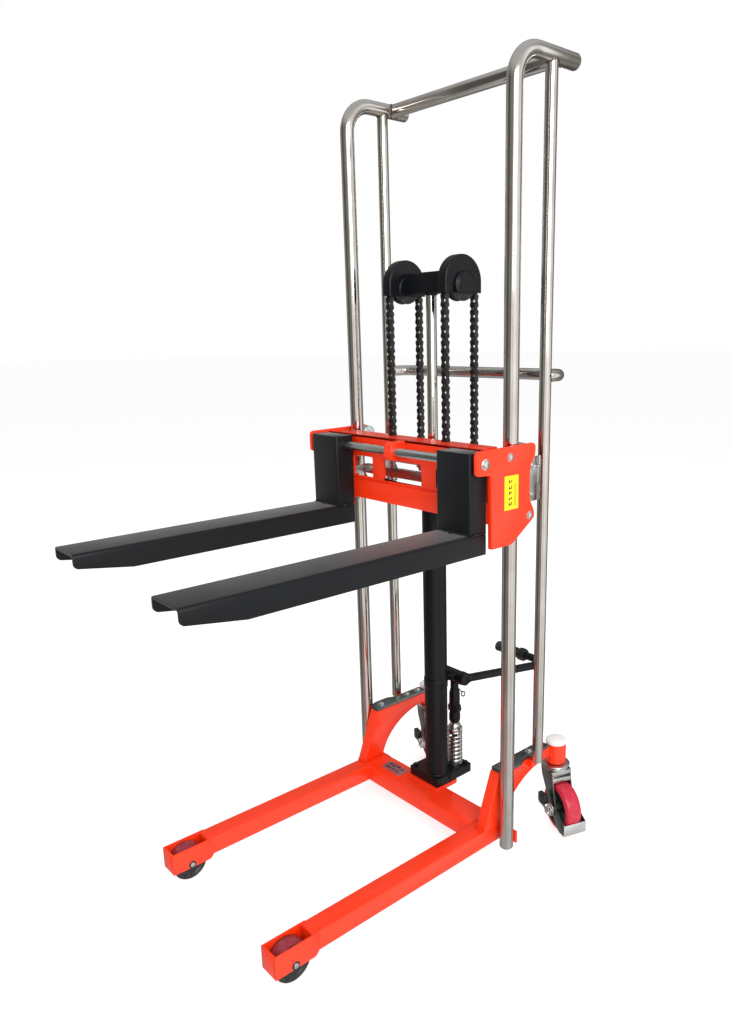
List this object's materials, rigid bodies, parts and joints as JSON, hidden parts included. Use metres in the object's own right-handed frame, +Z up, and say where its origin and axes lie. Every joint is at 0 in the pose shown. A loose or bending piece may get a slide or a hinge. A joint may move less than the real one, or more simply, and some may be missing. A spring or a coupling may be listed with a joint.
{
  "type": "walkie stacker",
  "caption": "Manual hydraulic walkie stacker: straddle base, chromed tube mast, chain-lifted carriage with two adjustable forks, foot pump and braked swivel casters.",
  "frame": {"origin": "floor level, at the centre of the machine's footprint box; the mast's mid-plane is the plane X = -0.0235", "axes": "-Y is the front, towards the fork tips; +Y is the operator's side; +Z is up; +X is on the right of someone who looks along +Y"},
  "size_m": [0.6595, 1.169, 1.8399],
  "materials": {
    "red_paint": "gloss red-orange powder coat on steel",
    "black_paint": "fine satin black powder coat on steel",
    "chrome": "bright chrome plate on ground tube",
    "zinc": "bright zinc plate",
    "white_plastic": "moulded white cap",
    "black_plastic": "moulded black knob",
    "chain_steel": "blackened, oiled roller chain",
    "red_urethane": "cast red polyurethane",
    "black_rubber": "matt black rubber sleeve",
    "spring_steel": "bright plated spring wire"
  },
  "bodies": {
    "frame": {"mast_hoop_left": "chrome", "mast_hoop_right": "chrome", "rear_pole_left": "chrome", "rear_pole_right": "chrome", "support_leg_left": "red_paint", "support_leg_right": "red_paint", "roller_axle_left": "zinc", "roller_axle_right": "zinc", "rear_bracket_left": "red_paint", "rear_bracket_right": "red_paint", "foot_plate_left": "zinc", "foot_plate_right": "zinc", "socket_cap_left": "white_plastic", "socket_cap_right": "white_plastic", "rear_chain_left": "chain_steel", "rear_chain_right": "chain_steel", "top_crossbar": "chrome", "push_handle": "chrome", "mast_brace": "zinc", "crossbeam": "red_paint", "lift_cylinder": "black_paint", "pump_block": "black_paint", "pump_barrel": "zinc", "pump_spring": "spring_steel", "lever_bracket": "black_paint"},
    "crosshead": {"crosshead": "black_paint", "piston_rod": "chrome", "chain_wrap_left": "chain_steel", "chain_wrap_right": "chain_steel"},
    "carriage": {"carriage_front": "red_paint", "carriage_side_left": "red_paint", "carriage_side_right": "red_paint", "chain_anchor_bar": "zinc", "fork_shaft": "chrome", "front_chain_left": "chain_steel", "front_chain_right": "chain_steel"},
    "pulley_left": {"chain_pulley_left": "black_paint"},
    "pulley_right": {"chain_pulley_right": "black_paint"},
    "guide_roller_top_front_left": {"guide_roller_top_front_left": "zinc"},
    "guide_roller_top_front_right": {"guide_roller_top_front_right": "zinc"},
    "guide_roller_top_rear_left": {"guide_roller_top_rear_left": "zinc"},
    "guide_roller_top_rear_right": {"guide_roller_top_rear_right": "zinc"},
    "guide_roller_low_rear_left": {"guide_roller_low_rear_left": "zinc"},
    "guide_roller_low_rear_right": {"guide_roller_low_rear_right": "zinc"},
    "fork_left": {"fork_left": "black_paint"},
    "fork_right": {"fork_right": "black_paint"},
    "load_roller_left": {"load_roller_left": "red_urethane"},
    "load_roller_right": {"load_roller_right": "red_urethane"},
    "caster_left": {"caster_fork_left": "zinc", "toe_guard_left": "zinc"},
    "caster_wheel_left": {"caster_wheel_left": "red_urethane"},
    "caster_brake_left": {"brake_lever_left": "zinc"},
    "caster_right": {"caster_fork_right": "zinc", "toe_guard_right": "zinc"},
    "caster_wheel_right": {"caster_wheel_right": "red_urethane"},
    "caster_brake_right": {"brake_lever_right": "zinc"},
    "foot_lever": {"foot_lever": "black_paint", "pedal_sleeve": "black_rubber"},
    "plunger": {"pump_plunger": "black_paint"},
    "release_knob": {"release_knob": "black_plastic"}
  },
  "joints": [
    {"name": "piston_lift", "type": "slide", "parent": "frame", "child": "crosshead", "axis": [0, 0, 1], "range_m": [-0.379, 0.322], "deforming": ["rear_chain_left", "rear_chain_right"]},
    {"name": "carriage_lift", "type": "slide", "parent": "crosshead", "child": "carriage", "axis": [0, 0, 1], "range_m": [-0.379, 0.322], "deforming": ["front_chain_left", "front_chain_right"]},
    {"name": "pulley_turn_left", "type": "hinge", "parent": "crosshead", "child": "pulley_left", "pos_m": [-0.1185, 0.234, 1.3875], "axis": [1, 0, 0], "continuous": true},
    {"name": "pulley_turn_right", "type": "hinge", "parent": "crosshead", "child": "pulley_right", "pos_m": [0.0715, 0.234, 1.3875], "axis": [1, 0, 0], "continuous": true},
    {"name": "top_front_roller_turn_left", "type": "hinge", "parent": "carriage", "child": "guide_roller_top_front_left", "pos_m": [-0.2955, 0.178, 1.012], "axis": [1, 0, 0], "continuous": true},
    {"name": "top_front_roller_turn_right", "type": "hinge", "parent": "carriage", "child": "guide_roller_top_front_right", "pos_m": [0.2485, 0.178, 1.012], "axis": [1, 0, 0], "continuous": true},
    {"name": "top_rear_roller_turn_left", "type": "hinge", "parent": "carriage", "child": "guide_roller_top_rear_left", "pos_m": [-0.2955, 0.247, 1.02], "axis": [1, 0, 0], "continuous": true},
    {"name": "top_rear_roller_turn_right", "type": "hinge", "parent": "carriage", "child": "guide_roller_top_rear_right", "pos_m": [0.2485, 0.247, 1.02], "axis": [1, 0, 0], "continuous": true},
    {"name": "low_rear_roller_turn_left", "type": "hinge", "parent": "carriage", "child": "guide_roller_low_rear_left", "pos_m": [-0.2955, 0.247, 0.877], "axis": [1, 0, 0], "continuous": true},
    {"name": "low_rear_roller_turn_right", "type": "hinge", "parent": "carriage", "child": "guide_roller_low_rear_right", "pos_m": [0.2485, 0.247, 0.877], "axis": [1, 0, 0], "continuous": true},
    {"name": "fork_slide_left", "type": "slide", "parent": "carriage", "child": "fork_left", "axis": [1, 0, 0], "range_m": [0, 0.155]},
    {"name": "fork_slide_right", "type": "slide", "parent": "carriage", "child": "fork_right", "axis": [-1, 0, 0], "range_m": [0, 0.155]},
    {"name": "load_roller_turn_left", "type": "hinge", "parent": "frame", "child": "load_roller_left", "pos_m": [-0.24525, -0.3915, 0.042], "axis": [1, 0, 0], "continuous": true},
    {"name": "load_roller_turn_right", "type": "hinge", "parent": "frame", "child": "load_roller_right", "pos_m": [0.19825, -0.3915, 0.042], "axis": [1, 0, 0], "continuous": true},
    {"name": "caster_swivel_left", "type": "hinge", "parent": "frame", "child": "caster_left", "pos_m": [-0.2705, 0.4335, 0.15], "axis": [0, 0, 1], "continuous": true},
    {"name": "caster_roll_left", "type": "hinge", "parent": "caster_left", "child": "caster_wheel_left", "pos_m": [-0.23479, 0.4205, 0.0625], "axis": [0.342, 0.9397, 0], "continuous": true},
    {"name": "caster_brake_left", "type": "hinge", "parent": "caster_left", "child": "caster_brake_left", "pos_m": [-0.23479, 0.4205, 0.0625], "axis": [-0.342, -0.9397, 0], "range_deg": [0, 20]},
    {"name": "caster_swivel_right", "type": "hinge", "parent": "frame", "child": "caster_right", "pos_m": [0.2235, 0.4335, 0.15], "axis": [0, 0, 1], "continuous": true},
    {"name": "caster_roll_right", "type": "hinge", "parent": "caster_right", "child": "caster_wheel_right", "pos_m": [0.25921, 0.4205, 0.0625], "axis": [0.342, 0.9397, 0], "continuous": true},
    {"name": "caster_brake_right", "type": "hinge", "parent": "caster_right", "child": "caster_brake_right", "pos_m": [0.25921, 0.4205, 0.0625], "axis": [-0.342, -0.9397, 0], "range_deg": [0, 20]},
    {"name": "foot_lever_press", "type": "hinge", "parent": "frame", "child": "foot_lever", "pos_m": [-0.0235, 0.2765, 0.385], "axis": [-1, 0, 0], "range_deg": [0, 28], "stiffness_Nm_per_rad": 30, "springref_deg": -14.32},
    {"name": "plunger_stroke", "type": "slide", "parent": "frame", "child": "plunger", "axis": [0, 0, -1], "range_m": [0, 0.0125], "deforming": ["pump_spring"]},
    {"name": "release_turn", "type": "hinge", "parent": "frame", "child": "release_knob", "pos_m": [-0.0755, 0.2745, 0.12], "axis": [0, 0, 1], "range_deg": [0, 90]}
  ],
  "couplings": [
    {"joint": "carriage_lift", "follows": "piston_lift", "ratio": 1},
    {"joint": "pulley_turn_left", "follows": "piston_lift", "rad_per_m": -21.277},
    {"joint": "pulley_turn_right", "follows": "piston_lift", "rad_per_m": -21.277},
    {"joint": "top_front_roller_turn_left", "follows": "piston_lift", "rad_per_m": -116.28},
    {"joint": "top_front_roller_turn_right", "follows": "piston_lift", "rad_per_m": -116.28},
    {"joint": "top_rear_roller_turn_left", "follows": "piston_lift", "rad_per_m": 116.28},
    {"joint": "top_rear_roller_turn_right", "follows": "piston_lift", "rad_per_m": 116.28},
    {"joint": "low_rear_roller_turn_left", "follows": "piston_lift", "rad_per_m": 116.28},
    {"joint": "low_rear_roller_turn_right", "follows": "piston_lift", "rad_per_m": 116.28},
    {"joint": "plunger_stroke", "follows": "foot_lever_press", "m_per_rad": 0.024}
  ]
}
